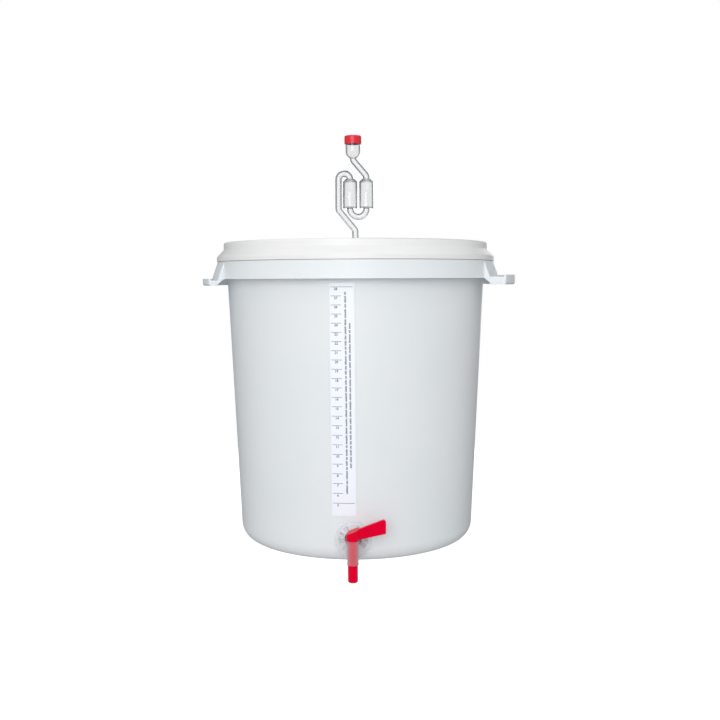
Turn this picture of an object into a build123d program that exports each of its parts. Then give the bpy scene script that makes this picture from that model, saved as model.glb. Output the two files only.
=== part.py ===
from build123d import *
import math
import os

# Plastic fermenting bucket with a snap lid, an airlock and a plug tap.
# Millimetres. +Z is up, the origin is the centre of the standing ring at floor level.
# The tap looks along -Y and the two side grips along +X and -X.

os.makedirs("parts", exist_ok=True)

# ---------------------------------------------------------------- driving dimensions

# Bucket body
base_radius = 156.8         # outer cone radius where the wall would meet the ground plane
wall_lean = 2.594           # outward lean of the wall, degrees
wall = 2.5
rim_height = 394.0          # top of the bucket's own rim
heel_radius = 20.0          # outside corner between wall and floor
foot_inset = 28.8           # from the wall's line in to the standing ring's inner edge
floor_recess = 8.0          # how far the middle of the floor is raised
recess_run = 7.0            # width of the slope up to the raised floor
floor_fillet = 3.0
neck_step = 2.4             # the upright neck stands this far outside the leaning wall
neck_step_height = 5.0      # height of the step from wall to neck, hidden by the band
neck_step_lift = 1.0        # the step starts this far above the band's foot
neck_round = 4.0            # rounding at the step's two corners
rim_fillet = 0.8

# Reinforcing band below the rim: a flange with a skirt that hangs from it, and ribs behind it
band_reach = 10.7           # the band's face stands this far outside the neck
band_top_drop = 21.5        # from the rim's top down to the band's top
band_depth = 22.5
band_wall = 2.2
flange_thickness = 2.5
rib_thickness = 1.6
rib_depth = 17.0
ribs_per_side = 9

# Bead on the rim that the lid snaps over
bead_reach = 5.5            # the bead stands this far outside the neck
bead_drop = 15.0            # from the rim's top down to the bead's top
bead_height = 2.6
bead_chamfer = 1.4

# Side grips: the band flares out into a finger pocket with an upturned lip
grip_half_angle = 26.0      # degrees each side of the X axis
right_grip_reach = 28.7     # from the band out to the lip's face; the left grip is smaller
left_grip_reach = 19.7
grip_drop = 52.5            # from the rim's top down to the grip's underside
grip_ledge = 3.0            # thickness of the grip's floor
right_lip_height = 12.5     # lip's top above the grip's underside
left_lip_height = 9.0
grip_end_drop = 2.5         # the end walls stop this far below the lip's top
grip_slope = 0.36           # outward run of the flare for each mm down
flare_drop = 1.4            # the flare leaves the band this far below its top
flare_inset = 0.25          # the flare's upper end lies this far inside the flange
grip_end_inset = 0.5        # the end walls stop this far inside the lip
grip_web = 2.8              # flare's thickness, measured along the radius
grip_lip = 2.8
grip_fillet = 0.7
grip_toe = 2.2              # rounding of the lip's lower outer corner

# Lid
lid_wall = 1.8
lid_fit = 0.3               # radial play of the lid's channel on the rim
lid_skirt_height = 6.0      # upright part of the lid's skirt
lid_shoulder_height = 9.5   # sloping part above the skirt
lid_band_gap = 0.5          # from the band's top up to the lid's skirt
lid_overhang = 0.6          # the lid's skirt stands this much outside the band
lid_land = 6.7              # width of the lid's top ring
lid_recess = 10.0           # from the top ring down to the panel
panel_step_inset = 22.5     # from the recess's wall in to the panel's step
panel_step = 2.5
hook_fit = 0.4              # radial play of the lid's hook past the rim's bead
hook_height = 1.8
lid_round = 2.2             # outside rounding of the lid's corners
lid_crease = 1.2            # rounding of its inside corners
seal_thickness = 2.0
seal_play = 0.15            # seal's side play in the channel

# Airlock: tube, two chambers, cup and cap
tube_radius = 4.5
tube_bore_radius = 3.2
stem_below_panel = 16.0     # how far the stem reaches below the lid's panel
stem_bend_height = 25.0     # first bend, above the panel
tube_offset = 22.5          # sideways run of the diagonal tube
tube_rise = 27.3            # height of the diagonal tube
riser_length = 40.7         # upright tube beside the first chamber
tube_bend_radius = 6.0
web_inset = 2.0             # the thin web starts this far above the chambers' feet
chamber_radius = 9.5
chamber_wall = 1.2
chamber_height = 39.5
chamber_gap = 3.0           # between the two chambers
chamber_lift = 1.6          # chambers' feet above the riser's lower bend
chamber_shoulder = 3.4
riser_gap = 1.7             # between the upright tube and the first chamber
cup_radius = 10.0
cup_wall = 1.2
cup_offset = 2.7            # axis of the cup, to the left of the stem
cup_rise = 27.0             # from the chambers' tops up to the cup's underside
cup_height = 29.0
airlock_web = 1.8

# Airlock's cap
cap_wall = 1.35
cap_height = 11.0
cap_top_thickness = 1.6
cap_fillet = 1.6
cap_vent_radius = 0.6
cap_vent_circle = 4.5
cap_vents = 4

# Rubber grommet in the lid
grommet_hole_radius = 7.0
grommet_flange_radius = 10.0
grommet_flange = 3.0
slide_fit = 0.05            # radial clearance of a running or push fit

# Tap, in the leaning frame of the wall
tap_height = 31.9           # centre of the tap's hole above the floor
tap_hole_play = 0.5         # radial play of the shank in the wall's hole
tap_flange_radius = 23.0
tap_flange = 3.0
barrel_reach = 22.0         # barrel's axis, out from the wall
barrel_wall = 1.45
barrel_above = 4.4          # barrel's top above the tap's centre
barrel_below = 25.1         # barrel's foot below the tap's centre
neck_tube_radius = 5.6
head_notch = 0.6            # room round the plug's head where the neck meets the barrel
shank_radius = 10.25
shank_bore_radius = 3.5
tap_edge = 0.8              # rounding of the tap's outer edges
thread_depth = 0.8
thread_pitch = 2.5
outer_washer = 2.5
outer_washer_inset = 5.0    # the washer's edge lies this far inside the flange's
washer_squeeze = 1.2        # how far the soft washer follows the wall's curve
inner_washer = 3.0
inner_washer_reach = 3.75   # from the shank out to the washer's edge
nut_height = 9.0
nut_reach = 4.75            # from the shank out to the nut's corners
nut_flats = 6
nut_chamfer = 0.8
shank_end = 2.0             # shank showing past the nut

# Tap's plug: lever, core and spout in one piece
core_radius = 6.5           # the part that turns inside the barrel
spout_radius = 6.1          # the part below the barrel, for a hose
spout_below = 47.5          # spout's tip below the tap's centre
spout_bore_radius = 4.0
spout_lip_fillet = 1.2
spout_bore_top = 5.0        # blind end of the spout's bore, above the tap's centre
plug_port_radius = 3.5
head_gap = 0.2              # head's underside above the barrel
head_left_height = 8.4      # heights of the head and lever are above the barrel's top
head_round = 6.5
head_edge = 1.2
lever_length = 40.2
lever_root = 1.4            # underside at the head
lever_tip_low = 8.6         # underside at the tip
lever_tip_high = 27.1       # upper edge at the tip
lever_thickness = 5.0
lever_corner = 3.2
lever_toe = 0.8
lever_edge = 0.9
pip_radius = 1.3
pip_height = 0.4
pip_inset = 6.2             # pip's centre, in from the tip and down from the upper edge
stop_bead = 0.3             # snap bead round the core, just below the barrel
stop_bead_height = 1.2
stop_bead_gap = 0.15

# Litre scale: a printed film on the wall, between tap and rim
label_width = 30.0
label_low = 60.0
label_gap = 5.0             # from the label's upper end to the band
label_thickness = 0.3
label_azimuth = 266.1       # degrees from +X

# ---------------------------------------------------------------- derived levels

slope = math.tan(math.radians(wall_lean))
band_top = rim_height - band_top_drop
band_bottom = band_top - band_depth
step_low = band_bottom + neck_step_lift
step_high = step_low + neck_step_height
neck_radius = base_radius + slope * step_low + neck_step
foot_inner_radius = base_radius - foot_inset
band_radius = neck_radius + band_reach
bead_radius = neck_radius + bead_reach
rim_inner_radius = neck_radius - wall
bead_top = rim_height - bead_drop
skirt_inner_radius = band_radius - band_wall
grip_bottom = rim_height - grip_drop

lid_low = band_top + lid_band_gap
lid_ceiling = rim_height + seal_thickness
lid_top = lid_ceiling + lid_wall
channel_radius = neck_radius + lid_fit
lid_top_radius = channel_radius + lid_wall
lid_skirt_radius = band_radius + lid_overhang
plug_wall_radius = rim_inner_radius - lid_fit - lid_wall
panel_step_radius = plug_wall_radius - panel_step_inset
panel_edge_top = lid_top - lid_recess
panel_top = panel_edge_top + panel_step
panel_underside = panel_top - lid_wall

chamber_low = panel_top + stem_bend_height + tube_rise + chamber_lift
chamber_high = chamber_low + chamber_height
arch_start = panel_top + stem_bend_height + tube_rise + riser_length
chamber_spacing = 2 * chamber_radius + chamber_gap
first_chamber_x = chamber_radius + riser_gap + tube_radius - tube_offset
second_chamber_x = first_chamber_x + chamber_spacing
cup_low = chamber_high + cup_rise
cup_top = cup_low + cup_height
cap_low = cup_top + cap_top_thickness - cap_height

inner_washer_face = -wall
nut_face = inner_washer_face - inner_washer
shank_tip = nut_face - nut_height - shank_end
tap_hole_radius = shank_radius + tap_hole_play
outer_washer_radius = tap_flange_radius - outer_washer_inset
inner_washer_radius = shank_radius + inner_washer_reach
nut_radius = shank_radius + nut_reach
barrel_bore_radius = core_radius + slide_fit
barrel_radius = barrel_bore_radius + barrel_wall
head_radius = barrel_radius

label_high = band_bottom - label_gap


def wall_radius(level):
    """Outer radius of the conical wall at a level."""
    return base_radius + slope * level


def radial_plane(azimuth):
    """Upright plane through the axis: local x points outward at the azimuth, local y up."""
    angle = math.radians(azimuth)
    outward = (math.cos(angle), math.sin(angle), 0)
    return Plane(origin=(0, 0, 0), x_dir=outward, z_dir=(math.sin(angle), -math.cos(angle), 0))


def ring_section(inner, outer, low, high):
    """Rectangle of an upright section, from inner to outer radius and low to high level."""
    with Locations(((inner + outer) / 2, (low + high) / 2)):
        Rectangle(outer - inner, high - low)


def finish(piece, name):
    """Label a finished piece and write it."""
    piece.part.label = name
    export_step(piece.part, f"parts/{name}.step")


# The tap's frame: local z points out of the wall, local y up along it
tap_seat = Plane(
    origin=(0, -wall_radius(tap_height), tap_height),
    x_dir=(1, 0, 0),
    z_dir=(0, -math.cos(math.radians(wall_lean)), -math.sin(math.radians(wall_lean))),
)
# The barrel's frame: local z runs up the barrel, local x to the right, local y to the bucket
barrel_frame = Plane(
    origin=tap_seat.from_local_coords((0, 0, barrel_reach)),
    x_dir=(1, 0, 0),
    z_dir=tap_seat.y_dir,
)

# ---------------------------------------------------------------- bucket

# Azimuth, lip radius and lip height of each grip
grips = (
    (0, band_radius + right_grip_reach, right_lip_height),
    (180, band_radius + left_grip_reach, left_lip_height),
)
open_span = 180 - 2 * grip_half_angle
grip_floor = grip_bottom + grip_ledge
flare_top = band_top - flare_inset


def flare_radius(level):
    """Outer face of the grip's flare at a level; it leaves the band below its top."""
    return band_radius + grip_slope * (band_top - flare_drop - level)


with BuildPart() as bucket:
    # Floor and wall, one skin of even thickness
    with BuildSketch(Plane.XZ):
        with BuildLine():
            skin = FilletPolyline(
                (0, floor_recess),
                (foot_inner_radius - recess_run, floor_recess),
                (foot_inner_radius, 0),
                (base_radius, 0),
                (wall_radius(step_low), step_low),
                (neck_radius, step_high),
                (neck_radius, rim_height),
                radius=[floor_fillet, floor_fillet, heel_radius, neck_round, neck_round],
            )
            offset(skin, amount=wall, side=Side.LEFT)
        make_face()
    revolve(axis=Axis.Z)
    fillet(bucket.edges().group_by(Axis.Z)[-1], radius=rim_fillet)

    # Band: flange and hanging skirt, left open behind each grip, and ribs between them
    with BuildSketch(Plane.XZ):
        ring_section(neck_radius - wall / 2, band_radius, band_top - flange_thickness, band_top)
        ring_section(skirt_inner_radius, band_radius, band_bottom, band_top)
    revolve(axis=Axis.Z)
    for side, _, _ in grips:
        with BuildSketch(radial_plane(side - grip_half_angle)):
            ring_section(
                (neck_radius + skirt_inner_radius) / 2,
                band_radius + band_wall,
                band_bottom - band_wall,
                band_top - flange_thickness,
            )
        revolve(axis=Axis.Z, revolution_arc=2 * grip_half_angle, mode=Mode.SUBTRACT)
        for number in range(1, ribs_per_side + 1):
            rib_azimuth = side + grip_half_angle + number * open_span / (ribs_per_side + 1)
            with BuildSketch(radial_plane(rib_azimuth)):
                ring_section(
                    neck_radius - wall / 2,
                    skirt_inner_radius + band_wall / 2,
                    band_top - rib_depth,
                    band_top - flange_thickness / 2,
                )
            extrude(amount=rib_thickness / 2, both=True)

    # Bead that the lid's hook passes
    with BuildSketch(Plane.XZ):
        with BuildLine():
            Polyline(
                (neck_radius - wall / 2, bead_top - bead_height),
                (bead_radius, bead_top - bead_height),
                (bead_radius, bead_top - bead_chamfer),
                (bead_radius - bead_chamfer, bead_top),
                (neck_radius - wall / 2, bead_top),
                close=True,
            )
        make_face()
    revolve(axis=Axis.Z)

    # Side grips: flare, floor and lip in one section, and a wall at each end
    for side, lip_radius, lip_height in grips:
        end_top = grip_bottom + lip_height - grip_end_drop
        with BuildSketch(radial_plane(side - grip_half_angle)) as flare:
            with BuildLine():
                Polyline(
                    (flare_radius(flare_top) - grip_web, flare_top),
                    (flare_radius(flare_top), flare_top),
                    (flare_radius(grip_floor), grip_floor),
                    (lip_radius - grip_lip, grip_floor),
                    (lip_radius - grip_lip, grip_bottom + lip_height),
                    (lip_radius, grip_bottom + lip_height),
                    (lip_radius, grip_bottom),
                    (flare_radius(grip_bottom) - grip_web, grip_bottom),
                    close=True,
                )
            make_face()
            lip_corners = flare.vertices().group_by(Axis.X)[-1].sort_by(Axis.Y)
            fillet(lip_corners[0], radius=grip_toe)
            fillet(lip_corners[-1], radius=grip_fillet)
        revolve(axis=Axis.Z, revolution_arc=2 * grip_half_angle)
        for end in (-1, 1):
            with BuildSketch(radial_plane(side + end * grip_half_angle)):
                with BuildLine():
                    Polyline(
                        (skirt_inner_radius - grip_end_inset, flare_top),
                        (flare_radius(flare_top), flare_top),
                        (flare_radius(end_top), end_top),
                        (lip_radius - grip_end_inset, end_top),
                        (lip_radius - grip_end_inset, grip_bottom + grip_toe),
                        (lip_radius - grip_toe, grip_bottom),
                        (flare_radius(grip_bottom), grip_bottom),
                        (band_radius, band_bottom),
                        (skirt_inner_radius - grip_end_inset, band_bottom),
                        close=True,
                    )
                make_face()
            extrude(amount=grip_web / 2, both=True)

    # Hole for the tap
    with BuildSketch(tap_seat):
        Circle(tap_hole_radius)
    extrude(amount=2 * wall, both=True, mode=Mode.SUBTRACT)

finish(bucket, "bucket")

# ---------------------------------------------------------------- lid, its seal and grommet

with BuildPart() as lid:
    # One skin of even thickness: skirt, shoulder, channel over the rim, recess and panel
    with BuildSketch(Plane.XZ):
        with BuildLine():
            cover = FilletPolyline(
                (lid_skirt_radius, lid_low),
                (lid_skirt_radius, lid_low + lid_skirt_height),
                (lid_top_radius, lid_low + lid_skirt_height + lid_shoulder_height),
                (lid_top_radius, lid_top),
                (plug_wall_radius, lid_top),
                (plug_wall_radius, panel_edge_top),
                (panel_step_radius + panel_step, panel_edge_top),
                (panel_step_radius, panel_top),
                (0, panel_top),
                radius=[
                    lid_round,
                    lid_crease,
                    lid_round,
                    lid_round,
                    lid_crease,
                    lid_crease / 2,
                    lid_round / 2,
                ],
            )
            offset(cover, amount=lid_wall, side=Side.LEFT)
        make_face()
    revolve(axis=Axis.Z)
    # Hook that snaps below the rim's bead
    with BuildSketch(Plane.XZ):
        ring_section(
            bead_radius + hook_fit,
            lid_skirt_radius - lid_wall / 2,
            lid_low,
            lid_low + hook_height,
        )
    revolve(axis=Axis.Z)
    # Hole for the grommet
    with BuildSketch(Plane.XY.offset(panel_top)):
        Circle(grommet_hole_radius)
    extrude(amount=2 * lid_wall, both=True, mode=Mode.SUBTRACT)

finish(lid, "lid")

with BuildPart() as lid_seal:
    with BuildSketch(Plane.XZ):
        ring_section(
            rim_inner_radius + seal_play,
            neck_radius - seal_play,
            rim_height,
            lid_ceiling,
        )
    revolve(axis=Axis.Z)

finish(lid_seal, "lid_seal")

with BuildPart() as lid_grommet:
    grommet_bore = tube_radius + slide_fit
    with BuildSketch(Plane.XZ):
        ring_section(grommet_bore, grommet_hole_radius, panel_underside, panel_top)
        ring_section(grommet_bore, grommet_flange_radius, panel_top, panel_top + grommet_flange)
        ring_section(
            grommet_bore,
            grommet_flange_radius,
            panel_underside - grommet_flange,
            panel_underside,
        )
    revolve(axis=Axis.Z)
    fillet(lid_grommet.edges().group_by(Axis.Z)[-1], radius=grommet_flange / 4)
    fillet(lid_grommet.edges().group_by(Axis.Z)[0], radius=grommet_flange / 4)

finish(lid_grommet, "lid_grommet")

# ---------------------------------------------------------------- airlock

stem_low = panel_top - stem_below_panel
first_bend = panel_top + stem_bend_height
second_bend = first_bend + tube_rise
arch_radius = (tube_offset + first_chamber_x) / 2
arch_x = -tube_offset + arch_radius
trap_x = (first_chamber_x + second_chamber_x) / 2
cup_axis = Axis((-cup_offset, 0, 0), (0, 0, 1))
cup_section_plane = Plane(origin=(-cup_offset, 0, 0), x_dir=(1, 0, 0), z_dir=(0, -1, 0))

# Centre lines of the three tubes
with BuildLine(Plane.XZ) as inlet_route:
    FilletPolyline(
        (0, stem_low),
        (0, first_bend),
        (-tube_offset, second_bend),
        (-tube_offset, arch_start),
        radius=tube_bend_radius,
    )
    ThreePointArc(
        (-tube_offset, arch_start),
        (arch_x, arch_start + arch_radius),
        (first_chamber_x, arch_start),
    )
    Line((first_chamber_x, arch_start), (first_chamber_x, chamber_high - 2 * chamber_wall))

with BuildLine(Plane.XZ) as trap_route:
    Line((first_chamber_x, chamber_low + 2 * chamber_wall), (first_chamber_x, chamber_low))
    ThreePointArc(
        (first_chamber_x, chamber_low),
        (trap_x, chamber_low - chamber_spacing / 2),
        (second_chamber_x, chamber_low),
    )
    Line((second_chamber_x, chamber_low), (second_chamber_x, chamber_low + 2 * chamber_wall))

with BuildLine(Plane.XZ) as outlet_route:
    FilletPolyline(
        (second_chamber_x, chamber_high - 2 * chamber_wall),
        (second_chamber_x, chamber_high + tube_radius),
        (-cup_offset, cup_low - cup_wall),
        (-cup_offset, cup_low + 2 * cup_wall),
        radius=tube_bend_radius,
    )


def airlock_form(tube, inset):
    """Tubes, chambers and cup as one solid, lying an inset inside the outer surface."""
    with BuildPart() as form:
        with BuildSketch(Plane.XY.offset(chamber_low + inset)):
            with Locations((first_chamber_x, 0), (second_chamber_x, 0)):
                Circle(chamber_radius - inset)
        extrude(amount=chamber_height - 2 * inset)
        chamfer(form.edges().group_by(Axis.Z)[-1], length=chamber_shoulder)
        fillet(form.edges().group_by(Axis.Z)[0], radius=chamber_shoulder / 2)
        for route in (inlet_route, trap_route, outlet_route):
            path = route.wires()[0]
            with BuildSketch(Plane(origin=path @ 0, z_dir=path % 0)):
                Circle(tube)
            sweep(path=path)
        with BuildSketch(cup_section_plane):
            with BuildLine():
                CenterArc((0, cup_low + cup_radius), cup_radius - inset, 270, 90)
                Polyline(
                    (cup_radius - inset, cup_low + cup_radius),
                    (cup_radius - inset, cup_top),
                    (0, cup_top),
                    (0, cup_low + inset),
                )
            make_face()
        revolve(axis=cup_axis)
    return form.part


with BuildPart() as airlock:
    add(airlock_form(tube_radius, 0))
    # Thin web that ties tubes and chambers together
    with BuildSketch(Plane.XZ):
        with BuildLine():
            Polyline(
                (-tube_offset, second_bend + web_inset),
                (second_chamber_x, chamber_low + web_inset),
                (second_chamber_x, chamber_high),
                (-cup_offset, cup_low + cup_wall),
                (arch_x, arch_start + arch_radius),
                (-tube_offset, arch_start),
                close=True,
            )
        make_face()
    extrude(amount=airlock_web / 2, both=True)
    add(airlock_form(tube_bore_radius, chamber_wall), mode=Mode.SUBTRACT)

with BuildPart() as airlock_front_half:
    add(airlock.part)
    split(bisect_by=Plane.XZ, keep=Keep.TOP)

finish(airlock_front_half, "airlock_front_half")

with BuildPart() as airlock_rear_half:
    add(airlock.part)
    split(bisect_by=Plane.XZ, keep=Keep.BOTTOM)

finish(airlock_rear_half, "airlock_rear_half")

with BuildPart() as airlock_cap:
    cap_bore = cup_radius + slide_fit
    with BuildSketch(cup_section_plane):
        ring_section(0, cap_bore + cap_wall, cap_low, cup_top + cap_top_thickness)
    revolve(axis=cup_axis)
    fillet(airlock_cap.edges().group_by(Axis.Z)[-1], radius=cap_fillet)
    with BuildSketch(cup_section_plane):
        ring_section(0, cap_bore, cap_low, cup_top)
    revolve(axis=cup_axis, mode=Mode.SUBTRACT)
    with BuildSketch(Plane.XY.offset(cup_top)):
        with Locations((-cup_offset, 0)):
            with PolarLocations(cap_vent_circle, cap_vents, start_angle=45):
                Circle(cap_vent_radius)
    extrude(amount=2 * cap_top_thickness, mode=Mode.SUBTRACT)

finish(airlock_cap, "airlock_cap")

# ---------------------------------------------------------------- tap

barrel_top = barrel_above
barrel_foot = -barrel_below
lever_plane = tap_seat.offset(barrel_reach)

with BuildPart() as tap_body:
    with BuildSketch(tap_seat.offset(outer_washer)):
        Circle(tap_flange_radius)
    extrude(amount=tap_flange)
    fillet(tap_body.edges().group_by(Axis.Y)[0], radius=tap_edge)
    with BuildSketch(tap_seat.offset(outer_washer + tap_flange / 2)):
        Circle(neck_tube_radius)
    extrude(amount=barrel_reach - outer_washer - tap_flange / 2)
    with BuildSketch(barrel_frame.offset(barrel_foot)):
        Circle(barrel_radius)
    extrude(amount=barrel_below + barrel_above)
    with BuildSketch(barrel_frame.offset(barrel_top)):
        Circle(head_radius + head_notch)
    extrude(amount=2 * neck_tube_radius, mode=Mode.SUBTRACT)
    # Threaded shank through the wall
    with BuildSketch(tap_seat.offset(shank_tip)):
        Circle(shank_radius)
    extrude(amount=outer_washer + tap_flange / 2 - shank_tip)
    groove_count = int((inner_washer_face - shank_tip) / thread_pitch)
    for number in range(groove_count):
        with BuildSketch(tap_seat.offset(shank_tip + (number + 0.5) * thread_pitch)):
            Circle(shank_radius + thread_depth)
            Circle(shank_radius - thread_depth, mode=Mode.SUBTRACT)
        extrude(amount=thread_pitch / 2, mode=Mode.SUBTRACT)
    # Waterway from the shank's tip into the barrel, and the barrel's bore
    with BuildSketch(tap_seat.offset(shank_tip)):
        Circle(shank_bore_radius)
    extrude(amount=barrel_reach - shank_tip, mode=Mode.SUBTRACT)
    with BuildSketch(barrel_frame.offset(barrel_foot)):
        Circle(barrel_bore_radius)
    extrude(amount=barrel_below + barrel_above, mode=Mode.SUBTRACT)

finish(tap_body, "tap_body")

with BuildPart() as tap_outer_washer:
    with BuildSketch(tap_seat.offset(-washer_squeeze)):
        Circle(outer_washer_radius)
        Circle(tap_hole_radius, mode=Mode.SUBTRACT)
    extrude(amount=washer_squeeze + outer_washer)
    add(bucket.part, mode=Mode.SUBTRACT)

finish(tap_outer_washer, "tap_outer_washer")

with BuildPart() as tap_inner_washer:
    with BuildSketch(tap_seat.offset(nut_face)):
        Circle(inner_washer_radius)
        Circle(tap_hole_radius, mode=Mode.SUBTRACT)
    extrude(amount=inner_washer)
    add(bucket.part, mode=Mode.SUBTRACT)

finish(tap_inner_washer, "tap_inner_washer")

with BuildPart() as tap_nut:
    with BuildSketch(tap_seat.offset(nut_face - nut_height)):
        RegularPolygon(nut_radius, nut_flats)
    extrude(amount=nut_height)
    chamfer(tap_nut.edges().group_by(Axis.Y)[-1], length=nut_chamfer)
    with BuildSketch(tap_seat.offset(nut_face - nut_height)):
        Circle(shank_radius + slide_fit)
    extrude(amount=nut_height, mode=Mode.SUBTRACT)

finish(tap_nut, "tap_nut")

# Outline of head and lever, seen from the front
with BuildSketch(lever_plane) as lever_outline:
    with BuildLine():
        Polyline(
            (-head_radius, barrel_top + head_gap),
            (-head_radius, barrel_top + head_left_height),
            (lever_length, barrel_top + lever_tip_high),
            (lever_length, barrel_top + lever_tip_low),
            (head_radius, barrel_top + lever_root),
            (head_radius, barrel_top + head_gap),
            close=True,
        )
    make_face()
    fillet(lever_outline.vertices().group_by(Axis.X)[0].sort_by(Axis.Y)[-1], radius=head_round)
    fillet(lever_outline.vertices().sort_by(Axis.Y)[-1], radius=lever_corner)
    fillet(lever_outline.vertices().group_by(Axis.X)[-1].sort_by(Axis.Y)[0], radius=lever_toe)

with BuildPart() as lever_blade:
    extrude(lever_outline.sketch, amount=lever_thickness / 2, both=True)
    fillet(lever_blade.faces().sort_by(Axis.Y)[0].edges(), radius=lever_edge)
    fillet(lever_blade.faces().sort_by(Axis.Y)[-1].edges(), radius=lever_edge)
    pip_level = barrel_top + lever_tip_high - pip_inset
    with BuildSketch(lever_plane.offset(lever_thickness / 2 - pip_height)):
        with Locations((lever_length - pip_inset, pip_level)):
            Circle(pip_radius)
    extrude(amount=2 * pip_height)

with BuildPart() as tap_plug:
    extrude(lever_outline.sketch, amount=2 * head_radius, both=True)
    with BuildSketch(barrel_frame):
        Circle(head_radius)
    extrude(amount=lever_length, mode=Mode.INTERSECT)
    add(lever_blade.part)
    # Core and spout, with a snap bead below the barrel
    with BuildSketch(barrel_frame.offset(-spout_below)):
        Circle(spout_radius)
    extrude(amount=spout_below - barrel_below)
    fillet(tap_plug.edges().group_by(Axis.Z)[0], radius=spout_lip_fillet)
    with BuildSketch(barrel_frame.offset(barrel_foot - stop_bead_gap)):
        Circle(core_radius)
    extrude(amount=barrel_below + stop_bead_gap + barrel_top + head_left_height / 2)
    with BuildSketch(barrel_frame.offset(barrel_foot - stop_bead_gap)):
        Circle(core_radius + stop_bead)
    extrude(amount=-stop_bead_height)
    # Bore up from the spout's tip and the side port that meets the waterway
    with BuildSketch(barrel_frame.offset(-spout_below)):
        Circle(spout_bore_radius)
    extrude(amount=spout_below + spout_bore_top, mode=Mode.SUBTRACT)
    with BuildSketch(Plane(origin=barrel_frame.origin, z_dir=(-1, 0, 0))):
        Circle(plug_port_radius)
    extrude(amount=2 * core_radius, mode=Mode.SUBTRACT)

finish(tap_plug, "tap_plug")

# ---------------------------------------------------------------- litre scale

label_mid = (label_low + label_high) / 2
label_plane = Plane(
    origin=(0, 0, label_mid),
    x_dir=(-math.sin(math.radians(label_azimuth)), math.cos(math.radians(label_azimuth)), 0),
    z_dir=(math.cos(math.radians(label_azimuth)), math.sin(math.radians(label_azimuth)), 0),
)

with BuildPart() as scale_label:
    with BuildSketch(Plane.XZ):
        with BuildLine():
            Polyline(
                (wall_radius(label_low), label_low),
                (wall_radius(label_low) + label_thickness, label_low),
                (wall_radius(label_high) + label_thickness, label_high),
                (wall_radius(label_high), label_high),
                close=True,
            )
        make_face()
    revolve(axis=Axis.Z)
    with BuildSketch(label_plane):
        Rectangle(label_width, label_high - label_low)
    extrude(amount=band_radius, mode=Mode.INTERSECT)

finish(scale_label, "scale_label")
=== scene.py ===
"""A plastic fermenting bucket with a snap lid, an airlock and a plug tap, dressed around its CAD frame."""
import math
import random

import bmesh
import bpy
from mathutils import Matrix, Vector


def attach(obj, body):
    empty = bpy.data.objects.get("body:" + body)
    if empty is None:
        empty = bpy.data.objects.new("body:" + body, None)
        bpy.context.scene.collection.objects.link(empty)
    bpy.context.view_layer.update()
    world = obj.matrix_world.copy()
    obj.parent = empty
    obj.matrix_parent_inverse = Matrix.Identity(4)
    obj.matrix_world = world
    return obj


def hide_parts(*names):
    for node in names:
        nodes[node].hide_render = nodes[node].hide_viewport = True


MM = 0.001

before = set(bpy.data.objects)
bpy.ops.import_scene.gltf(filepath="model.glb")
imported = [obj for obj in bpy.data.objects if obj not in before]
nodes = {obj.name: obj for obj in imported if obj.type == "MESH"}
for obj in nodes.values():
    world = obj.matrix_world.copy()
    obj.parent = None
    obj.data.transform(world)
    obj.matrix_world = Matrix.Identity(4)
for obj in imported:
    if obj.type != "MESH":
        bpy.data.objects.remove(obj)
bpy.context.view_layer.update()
scene = bpy.context.scene


# ---------------------------------------------------------------- materials

def new_material(name, color, roughness):
    """A principled material; returns it with its node tree and shader."""
    material = bpy.data.materials.new(name)
    material.use_nodes = True
    tree = material.node_tree
    shader = tree.nodes["Principled BSDF"]
    shader.inputs["Base Color"].default_value = (*color, 1)
    shader.inputs["Roughness"].default_value = roughness
    return material, tree, shader


def noise(tree, scale, detail=3.0):
    """Procedural noise over the object's own metres."""
    place = tree.nodes.new("ShaderNodeTexCoord")
    texture = tree.nodes.new("ShaderNodeTexNoise")
    texture.inputs["Scale"].default_value = scale
    texture.inputs["Detail"].default_value = detail
    tree.links.new(place.outputs["Object"], texture.inputs["Vector"])
    return texture.outputs["Fac"]


def ramp(tree, value, low, high, first, second):
    """Maps a noise value between two limits onto two colours."""
    node = tree.nodes.new("ShaderNodeValToRGB")
    node.color_ramp.elements[0].position = low
    node.color_ramp.elements[1].position = high
    node.color_ramp.elements[0].color = (*first, 1)
    node.color_ramp.elements[1].color = (*second, 1)
    tree.links.new(value, node.inputs["Fac"])
    return node.outputs["Color"]


def spread(tree, value, low, high):
    """Maps a noise value onto a range of numbers."""
    node = tree.nodes.new("ShaderNodeMapRange")
    node.inputs["To Min"].default_value = low
    node.inputs["To Max"].default_value = high
    tree.links.new(value, node.inputs["Value"])
    return node.outputs["Result"]


def bump(tree, shader, value, depth):
    """Surface relief, its depth in metres."""
    node = tree.nodes.new("ShaderNodeBump")
    node.inputs["Distance"].default_value = depth
    node.inputs["Strength"].default_value = 1.0
    tree.links.new(value, node.inputs["Height"])
    tree.links.new(node.outputs["Normal"], shader.inputs["Normal"])


def moulded_white(name, first, second, roughness, depth):
    """Milky moulded polyethylene: a faint cloudiness, a satin gloss that varies, and a fine ripple."""
    material, tree, shader = new_material(name, first, roughness)
    tree.links.new(ramp(tree, noise(tree, 9.0), 0.3, 0.7, first, second), shader.inputs["Base Color"])
    tree.links.new(
        spread(tree, noise(tree, 60.0), roughness - 0.06, roughness + 0.06),
        shader.inputs["Roughness"],
    )
    bump(tree, shader, noise(tree, 420.0, detail=2.0), depth)
    shader.inputs["Subsurface Weight"].default_value = 0.25
    shader.inputs["Subsurface Radius"].default_value = (0.010, 0.011, 0.012)
    shader.inputs["Subsurface Scale"].default_value = 1.0
    shader.inputs["IOR"].default_value = 1.5
    return material


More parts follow.
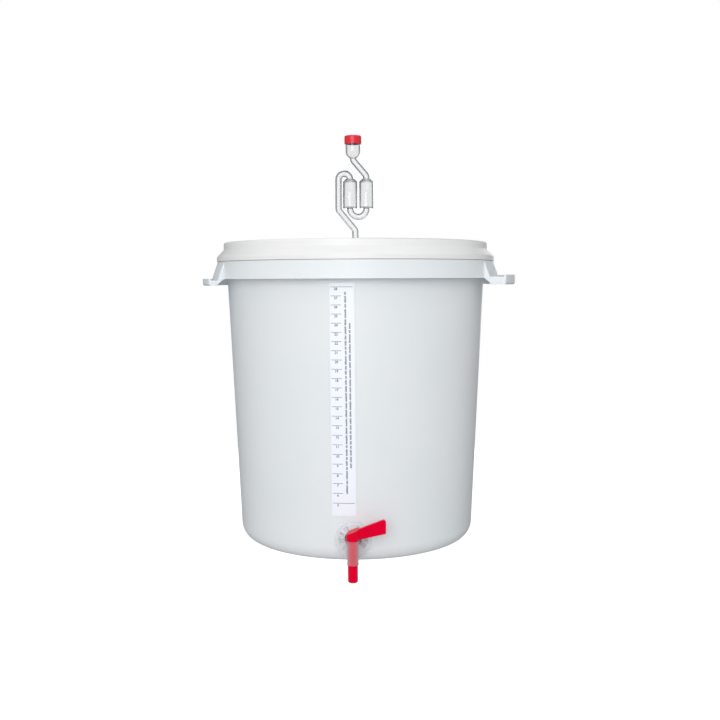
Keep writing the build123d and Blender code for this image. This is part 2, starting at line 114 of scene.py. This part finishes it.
def glossy_red(name, first, second, gloss, gloss_tint):
    """Red moulded plastic with a soft gloss."""
    material, tree, shader = new_material(name, first, 0.3)
    tree.links.new(ramp(tree, noise(tree, 90.0), 0.35, 0.7, first, second), shader.inputs["Base Color"])
    tree.links.new(spread(tree, noise(tree, 300.0), 0.25, 0.38), shader.inputs["Roughness"])
    bump(tree, shader, noise(tree, 900.0), 0.00004)
    shader.inputs["Specular IOR Level"].default_value = gloss
    shader.inputs["Specular Tint"].default_value = (*gloss_tint, 1)
    shader.inputs["IOR"].default_value = 1.49
    return material


def clear_plastic(name, color, roughness, rough_spread, ior):
    """Clear see-through plastic with faint flow marks from moulding."""
    material, tree, shader = new_material(name, color, roughness)
    shader.inputs["Transmission Weight"].default_value = 1.0
    shader.inputs["IOR"].default_value = ior
    tree.links.new(
        spread(tree, noise(tree, 150.0), roughness, roughness + rough_spread),
        shader.inputs["Roughness"],
    )
    bump(tree, shader, noise(tree, 160.0), 0.00001)
    return material


def frosted_plastic(name, first, second, thin, thick):
    """Natural polypropylene: a milky veil, thin face on and thick towards the edges of a form."""
    material, tree, shader = new_material(name, first, 0.3)
    tree.links.new(ramp(tree, noise(tree, 120.0), 0.3, 0.7, first, second), shader.inputs["Base Color"])
    tree.links.new(spread(tree, noise(tree, 300.0), 0.24, 0.36), shader.inputs["Roughness"])
    bump(tree, shader, noise(tree, 700.0), 0.00004)
    shader.inputs["IOR"].default_value = 1.49
    facing = tree.nodes.new("ShaderNodeLayerWeight")
    facing.inputs["Blend"].default_value = 0.3
    tree.links.new(spread(tree, facing.outputs["Facing"], thin, thick), shader.inputs["Alpha"])
    return material


def soft_rubber(name, first, second):
    """Matt rubber or foam with fine pores."""
    material, tree, shader = new_material(name, first, 0.75)
    tree.links.new(ramp(tree, noise(tree, 500.0), 0.35, 0.65, first, second), shader.inputs["Base Color"])
    bump(tree, shader, noise(tree, 1500.0), 0.0001)
    return material


def printed_film(name, first, second, roughness):
    """Smooth film or ink with a slightly uneven tone."""
    material, tree, shader = new_material(name, first, roughness)
    tree.links.new(ramp(tree, noise(tree, 900.0), 0.35, 0.7, first, second), shader.inputs["Base Color"])
    bump(tree, shader, noise(tree, 1200.0), 0.00002)
    return material


bucket_white = moulded_white("bucket_white", (0.80, 0.835, 0.86), (0.77, 0.815, 0.845), 0.42, 0.00006)
lid_white = moulded_white("lid_white", (0.87, 0.87, 0.868), (0.84, 0.842, 0.844), 0.38, 0.00005)
tap_red = glossy_red("tap_red", (0.74, 0.0, 0.027), (0.66, 0.0, 0.021), 0.3, (1.0, 0.08, 0.2))
cap_red = glossy_red("cap_red", (0.72, 0.012, 0.030), (0.64, 0.008, 0.022), 0.6, (1.0, 0.8, 0.85))
airlock_web = clear_plastic("airlock_web", (0.84, 0.85, 0.865), 0.08, 0.06, 1.52)
airlock_clear = clear_plastic("airlock_clear", (0.93, 0.94, 0.945), 0.02, 0.03, 1.52)
tap_frosted = frosted_plastic("tap_frosted", (0.82, 0.82, 0.91), (0.79, 0.79, 0.88), 0.08, 0.55)
nut_natural = moulded_white("nut_natural", (0.82, 0.84, 0.83), (0.78, 0.80, 0.80), 0.35, 0.00004)
seal_foam = soft_rubber("seal_foam", (0.80, 0.80, 0.77), (0.72, 0.72, 0.69))
washer_rubber = soft_rubber("washer_rubber", (0.93, 0.94, 0.95), (0.89, 0.90, 0.92))
grommet_rubber = soft_rubber("grommet_rubber", (0.70, 0.69, 0.64), (0.62, 0.61, 0.57))
label_white = printed_film("label_white", (0.84, 0.865, 0.92), (0.82, 0.85, 0.91), 0.35)
print_grey = printed_film("print_grey", (0.055, 0.058, 0.065), (0.09, 0.093, 0.10), 0.5)

finishes = {
    "bucket": bucket_white,
    "lid": lid_white,
    "lid_seal": seal_foam,
    "lid_grommet": grommet_rubber,
    "airlock_cap": cap_red,
    "tap_body": tap_frosted,
    "tap_plug": tap_red,
    "tap_outer_washer": washer_rubber,
    "tap_inner_washer": washer_rubber,
    "tap_nut": nut_natural,
    "scale_label": label_white,
}
for name, material in finishes.items():
    nodes[name].data.materials.clear()
    nodes[name].data.materials.append(material)


def add_object(name, shape):
    """A new object of the scene, made from a finished shape."""
    mesh = bpy.data.meshes.new(name)
    shape.to_mesh(mesh)
    shape.free()
    thing = bpy.data.objects.new(name, mesh)
    scene.collection.objects.link(thing)
    return thing


# ---------------------------------------------------------------- airlock

WEB = 1.8 * MM               # thickness of the flat web between the airlock's tubes
SEAM_REACH = 1e-6            # a seam face's corners lie this near the middle plane
WELD_REACH = 2e-6            # corners this near each other are joined along the seam
WEB_REACH = 1e-5             # a web face's middle lies this near the web's surface
SQUARE_ON = 0.999            # how squarely a web face points along Y


def merged_airlock():
    """Both half shells as one clear moulding, without the two faces where they meet."""
    shell = bmesh.new()
    for half in ("airlock_front_half", "airlock_rear_half"):
        shell.from_mesh(nodes[half].data)
    seam = [f for f in shell.faces if all(abs(v.co.y) < SEAM_REACH for v in f.verts)]
    bmesh.ops.delete(shell, geom=seam, context="FACES")
    bmesh.ops.remove_doubles(shell, verts=shell.verts[:], dist=WELD_REACH)
    bmesh.ops.recalc_face_normals(shell, faces=shell.faces[:])
    for face in shell.faces:
        from_web = abs(abs(face.calc_center_median().y) - WEB / 2)
        if abs(face.normal.y) > SQUARE_ON and from_web < WEB_REACH:
            face.material_index = 1
    piece = add_object("airlock_moulding", shell)
    piece.data.materials.append(airlock_clear)
    piece.data.materials.append(airlock_web)
    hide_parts("airlock_front_half", "airlock_rear_half")
    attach(piece, "airlock")


merged_airlock()

# ---------------------------------------------------------------- litre scale

WALL_FOOT = 156.8 * MM       # outer radius of the wall's cone at floor level
WALL_SLOPE = math.tan(math.radians(2.594))
WALL = 2.5 * MM
FILM = 0.3 * MM
LABEL_AZIMUTH = math.radians(266.1)
LABEL_WIDTH = 30.0 * MM      # places across the label are measured from its left edge
FIRST_MARK, LAST_MARK = 5, 28
FIRST_LEVEL, LAST_LEVEL = 76.0 * MM, 340.0 * MM
INK = 0.06 * MM              # how far the ink stands proud of the film
INK_SUNK = 0.04 * MM         # how deep it reaches into the film
INK_STEP = 3.0 * MM          # longest flat stretch of a bar round the wall
LINE_START = 1.5 * MM
SHORT_LINE_END = 14.0 * MM
LONG_LINE_END = 28.0 * MM
LINE_THICKNESS = 0.5 * MM
NUMBER_CENTRE = 7.6 * MM
NUMBER_HEIGHT = 4.2 * MM     # the font's size; a digit is about 0.7 of it
NUMBER_DROP = 2.6 * MM       # from a line down to its number's middle
NUMBER_BOLD = 0.09 * MM      # how much a digit's strokes are thickened
FINE_BAR = 0.8 * MM          # a bar of fine print, measured down its column
FINE_PITCH = 1.2 * MM        # from one bar down to the next
FINE_GAP = 1.3 * MM          # more than that between two groups of bars
FINE_LEFT = (0.9, 0.9, 1.3)  # reaches of a bar to the left of its column, in millimetres
FINE_RIGHT = 0.9 * MM
FEWEST_BARS, MOST_BARS = 3, 9
FINE_SEED = 28


def on_label(across, level, lift):
    """Point on the label: across from its left edge, at a level, lifted off the wall."""
    radius = WALL_FOOT + WALL_SLOPE * level
    turn = LABEL_AZIMUTH + math.asin((across - LABEL_WIDTH / 2) / radius)
    reach = radius + lift
    return Vector((reach * math.cos(turn), reach * math.sin(turn), level))


def litre_level(litres):
    """Level of a litre mark: equal volumes between the lowest and highest marks."""
    def cube(level):
        return (WALL_FOOT - WALL + WALL_SLOPE * level) ** 3
    share = (litres - FIRST_MARK) / (LAST_MARK - FIRST_MARK)
    total = cube(FIRST_LEVEL) + share * (cube(LAST_LEVEL) - cube(FIRST_LEVEL))
    return (total ** (1 / 3) - WALL_FOOT + WALL) / WALL_SLOPE


def ink_bar(shape, left, right, low, high):
    """Thin closed bar of ink on the label, curved with the wall."""
    steps = max(1, round((right - left) / INK_STEP))
    rings = []
    for step in range(steps + 1):
        across = left + (right - left) * step / steps
        corners = ((low, FILM - INK_SUNK), (high, FILM - INK_SUNK), (high, FILM + INK), (low, FILM + INK))
        rings.append([shape.verts.new(on_label(across, level, lift)) for level, lift in corners])
    for first, second in zip(rings, rings[1:]):
        for side in range(4):
            after = (side + 1) % 4
            shape.faces.new((first[side], first[after], second[after], second[side]))
    shape.faces.new(rings[0][::-1])
    shape.faces.new(rings[-1])


def ink_number(shape, text, centre, middle):
    """A number's digits as thin closed shapes of ink, curved with the wall."""
    curve = bpy.data.curves.new("digits", "FONT")
    curve.body = text
    curve.size = NUMBER_HEIGHT
    curve.align_x = "CENTER"
    curve.align_y = "CENTER"
    curve.extrude = 0.5 * INK
    curve.offset = NUMBER_BOLD
    curve.resolution_u = 3
    holder = bpy.data.objects.new("digits", curve)
    digits = bpy.data.meshes.new_from_object(holder)
    first = len(shape.verts)
    shape.from_mesh(digits)
    shape.verts.ensure_lookup_table()
    for vert in shape.verts[first:]:
        lift = FILM + (INK if vert.co.z > 0 else -INK_SUNK)
        vert.co = on_label(centre + vert.co.x, middle + vert.co.y, lift)
    bpy.data.objects.remove(holder)
    bpy.data.curves.remove(curve)
    bpy.data.meshes.remove(digits)


def ink_column(shape, dice, centre, top, bottom):
    """Upright row of small bars in groups, like lines of fine print too small to read."""
    level = top
    while level > bottom:
        for _ in range(dice.randint(FEWEST_BARS, MOST_BARS)):
            reach = dice.choice(FINE_LEFT) * MM
            ink_bar(shape, centre - reach, centre + FINE_RIGHT, level - FINE_BAR, level)
            level -= FINE_PITCH
        level -= FINE_GAP


def scale_print():
    """The litre marks, their numbers and two columns of fine print."""
    shape = bmesh.new()
    for litres in range(FIRST_MARK, LAST_MARK + 1):
        level = litre_level(litres)
        ends = litres in (FIRST_MARK, LAST_MARK)
        line_end = LONG_LINE_END if ends else SHORT_LINE_END
        ink_bar(shape, LINE_START, line_end, level - LINE_THICKNESS / 2, level + LINE_THICKNESS / 2)
        ink_number(shape, str(litres), NUMBER_CENTRE, level - NUMBER_DROP)
    dice = random.Random(FINE_SEED)
    ink_column(shape, dice, 19.0 * MM, litre_level(28) - 6 * MM, litre_level(6))
    ink_column(shape, dice, 24.0 * MM, litre_level(24), litre_level(9))
    bmesh.ops.recalc_face_normals(shape, faces=shape.faces[:])
    piece = add_object("scale_print", shape)
    piece.data.materials.append(print_grey)
    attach(piece, "root")


scale_print()

# ---------------------------------------------------------------- camera, lights and stage

CAMERA_AZIMUTH = 1.6         # degrees, towards +X from straight in front of the tap
CAMERA_DISTANCE = 1.342      # metres from the bucket's axis
CAMERA_HEIGHT = 0.3487
CAMERA_PITCH = 4.69          # degrees downwards
CAMERA_YAW = 0.236           # degrees to the right of the bucket's axis
CAMERA_ROLL = 0.27
CAMERA_LENS = 49.1           # millimetres, on a 36 mm sensor


def add_camera():
    """The camera, in front of the tap and a little to the right of it."""
    data = bpy.data.cameras.new("camera")
    data.lens = CAMERA_LENS
    data.sensor_width = 36.0
    data.clip_start = 0.02
    camera = bpy.data.objects.new("camera", data)
    azimuth = math.radians(CAMERA_AZIMUTH)
    turn = Matrix.Rotation(azimuth - math.radians(CAMERA_YAW), 4, "Z")
    tilt = Matrix.Rotation(math.radians(90 - CAMERA_PITCH), 4, "X")
    roll = Matrix.Rotation(math.radians(-CAMERA_ROLL), 4, "Z")
    place = (CAMERA_DISTANCE * math.sin(azimuth), -CAMERA_DISTANCE * math.cos(azimuth), CAMERA_HEIGHT)
    camera.matrix_world = Matrix.Translation(place) @ turn @ tilt @ roll
    scene.collection.objects.link(camera)
    scene.camera = camera


def area_light(name, place, target, width, height, power):
    """A soft rectangular light at a place, facing a target."""
    data = bpy.data.lights.new(name, "AREA")
    data.shape = "RECTANGLE"
    data.size = width
    data.size_y = height
    data.energy = power
    light = bpy.data.objects.new(name, data)
    facing = Vector(target) - Vector(place)
    light.rotation_euler = facing.to_track_quat("-Z", "Y").to_euler()
    light.location = place
    light.visible_transmission = False
    scene.collection.objects.link(light)


add_camera()
area_light("key", (-0.35, -2.7, 1.0), (0, 0, 0.2), 1.8, 1.8, 38)
area_light("top", (0.3, -1.2, 2.3), (0, 0, 0.3), 1.8, 1.8, 8)
area_light("rear", (0.3, 2.7, 0.9), (0, 0, 0.2), 1.8, 1.8, 22)

WHITE = (1, 1, 1, 1)
FRONT = (0.62, 0.63, 0.64)   # soft light from the tap's side
BACK = (0.12, 0.125, 0.13)   # dim light from behind
DARK = (0.26, 0.26, 0.27)    # what clear plastic shows in every direction but straight behind
FRONT_ENDS, BACK_STARTS = 0.15, 0.75
WHITE_STARTS, WHITE_FULL = 0.93, 0.985


def studio_world():
    """A white studio with soft grey light. Clear plastic shows white only towards +Y, grey elsewhere."""
    world = bpy.data.worlds.new("studio")
    scene.world = world
    world.use_nodes = True
    tree = world.node_tree
    backdrop = tree.nodes["Background"]
    backdrop.inputs["Color"].default_value = WHITE
    surround = tree.nodes.new("ShaderNodeBackground")
    path = tree.nodes.new("ShaderNodeLightPath")
    place = tree.nodes.new("ShaderNodeTexCoord")
    split = tree.nodes.new("ShaderNodeSeparateXYZ")
    behind = ramp(tree, split.outputs["Y"], WHITE_STARTS, WHITE_FULL, DARK, WHITE[:3])
    around = ramp(tree, split.outputs["Y"], FRONT_ENDS, BACK_STARTS, FRONT, BACK)
    through = tree.nodes.new("ShaderNodeMix")
    through.data_type = "RGBA"
    mix = tree.nodes.new("ShaderNodeMixShader")
    tree.links.new(place.outputs["Generated"], split.inputs["Vector"])
    tree.links.new(path.outputs["Is Transmission Ray"], through.inputs["Factor"])
    tree.links.new(around, through.inputs["A"])
    tree.links.new(behind, through.inputs["B"])
    tree.links.new(through.outputs["Result"], surround.inputs["Color"])
    tree.links.new(path.outputs["Is Camera Ray"], mix.inputs["Fac"])
    tree.links.new(surround.outputs["Background"], mix.inputs[1])
    tree.links.new(backdrop.outputs["Background"], mix.inputs[2])
    tree.links.new(mix.outputs["Shader"], tree.nodes["World Output"].inputs["Surface"])


studio_world()

# Pale floor, and a low round stand under the bucket so that the tap hangs free
STAND_HEIGHT = 0.03
STAND_RADIUS = 0.138
FLOOR_RADIUS = 0.9


def stage_disc(name, radius, low, high, glow):
    """A flat white disc or drum of the studio, lit softly from within."""
    shape = bmesh.new()
    bmesh.ops.create_circle(shape, cap_ends=True, segments=96, radius=radius)
    bmesh.ops.translate(shape, verts=shape.verts[:], vec=(0, 0, low))
    if high > low:
        side = bmesh.ops.extrude_face_region(shape, geom=shape.faces[:])
        top = [item for item in side["geom"] if isinstance(item, bmesh.types.BMVert)]
        bmesh.ops.translate(shape, verts=top, vec=(0, 0, high - low))
    bmesh.ops.recalc_face_normals(shape, faces=shape.faces[:])
    disc = add_object(name, shape)
    pale, tree, shader = new_material(name, (0.93, 0.93, 0.93), 0.8)
    tree.links.new(
        ramp(tree, noise(tree, 40.0), 0.3, 0.7, (0.93, 0.93, 0.93), (0.92, 0.92, 0.92)),
        shader.inputs["Base Color"],
    )
    shader.inputs["Emission Color"].default_value = WHITE
    shader.inputs["Emission Strength"].default_value = glow
    disc.data.materials.append(pale)
    disc.visible_diffuse = False
    disc.visible_glossy = False


stage_disc("floor", FLOOR_RADIUS, -STAND_HEIGHT, -STAND_HEIGHT, 0.62)
stage_disc("stand", STAND_RADIUS, -STAND_HEIGHT, 0.0, 0.7)

scene.view_settings.view_transform = "Standard"
